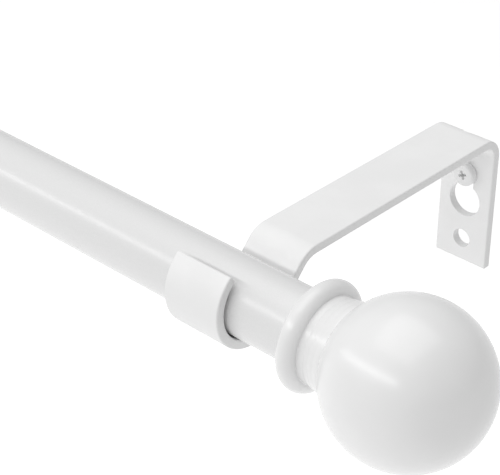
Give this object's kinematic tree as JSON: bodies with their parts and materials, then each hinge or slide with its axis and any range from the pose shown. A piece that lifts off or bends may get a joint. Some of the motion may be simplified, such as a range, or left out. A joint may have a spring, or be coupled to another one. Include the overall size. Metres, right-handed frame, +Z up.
{
  "type": "curtain rod with brackets",
  "caption": "Telescoping white curtain rod with ball finials, held in bent flat strip J hook brackets with keyhole wall plates and set screws.",
  "frame": {"origin": "on the wall face of the centre bracket's plate, on its centre line, between the keyhole and the lower screw hole", "axes": "+X along the rod towards the wide tube's end, +Y into the wall, +Z up"},
  "size_m": [1.1108, 0.1732, 0.0772],
  "materials": {
    "rod_powder_coat": "satin powder coat with fine orange peel",
    "bracket_paint": "smooth matte powder coat",
    "finial_paint": "smooth satin paint over moulded resin",
    "screw_paint": "satin paint, bare steel in the recess",
    "white_plastic": "moulded",
    "zinc_steel": "zinc plated thread",
    "brass": "turned"
  },
  "bodies": {
    "wall_brackets": {"near_bracket": "bracket_paint", "centre_bracket": "bracket_paint", "far_bracket": "bracket_paint", "near_wall_screw": "screw_paint", "centre_wall_screw": "screw_paint", "far_wall_screw": "screw_paint"},
    "near_set_screw": {"near_set_screw": "screw_paint"},
    "centre_set_screw": {"centre_set_screw": "screw_paint"},
    "far_set_screw": {"far_set_screw": "screw_paint"},
    "outer_rod": {"outer_tube": "rod_powder_coat", "near_end_plug": "white_plastic"},
    "near_stud": {"near_finial_stud": "zinc_steel"},
    "near_finial": {"near_finial": "finial_paint", "near_finial_insert": "brass"},
    "inner_rod": {"inner_tube": "rod_powder_coat", "inner_tube_guide_plug": "white_plastic", "far_end_plug": "white_plastic", "far_finial_sleeve": "white_plastic"},
    "far_stud": {"far_finial_stud": "zinc_steel"},
    "far_finial": {"far_finial": "finial_paint", "far_finial_insert": "brass"}
  },
  "joints": [
    {"name": "rod_lift", "type": "slide", "parent": "wall_brackets", "child": "outer_rod", "axis": [0, 0.4848, 0.8746], "range_m": [0, 0.035]},
    {"name": "rod_telescope", "type": "slide", "parent": "outer_rod", "child": "inner_rod", "axis": [-1, 0, 0], "range_m": [-0.018, 0.695]},
    {"name": "near_finial_travel", "type": "slide", "parent": "outer_rod", "child": "near_stud", "axis": [1, 0, 0], "range_m": [0, 0.0101]},
    {"name": "near_finial_turn", "type": "hinge", "parent": "near_stud", "child": "near_finial", "pos_m": [0.49065, -0.1335, 0.0333], "axis": [1, 0, 0], "range_deg": [0, 2880]},
    {"name": "far_finial_travel", "type": "slide", "parent": "inner_rod", "child": "far_stud", "axis": [-1, 0, 0], "range_m": [0, 0.0101]},
    {"name": "far_finial_turn", "type": "hinge", "parent": "far_stud", "child": "far_finial", "pos_m": [-0.49065, -0.1335, 0.0333], "axis": [-1, 0, 0], "range_deg": [0, 2880]},
    {"name": "near_set_screw_back_off", "type": "slide", "parent": "wall_brackets", "child": "near_set_screw", "axis": [0, 0.7431, -0.6691], "range_m": [0, 0.003]},
    {"name": "centre_set_screw_back_off", "type": "slide", "parent": "wall_brackets", "child": "centre_set_screw", "axis": [0, 0.7431, -0.6691], "range_m": [0, 0.003]},
    {"name": "far_set_screw_back_off", "type": "slide", "parent": "wall_brackets", "child": "far_set_screw", "axis": [0, 0.7431, -0.6691], "range_m": [0, 0.003]}
  ],
  "couplings": [
    {"joint": "near_finial_travel", "follows": "near_finial_turn", "m_per_rad": 0.00019894},
    {"joint": "far_finial_travel", "follows": "far_finial_turn", "m_per_rad": 0.00019894}
  ]
}
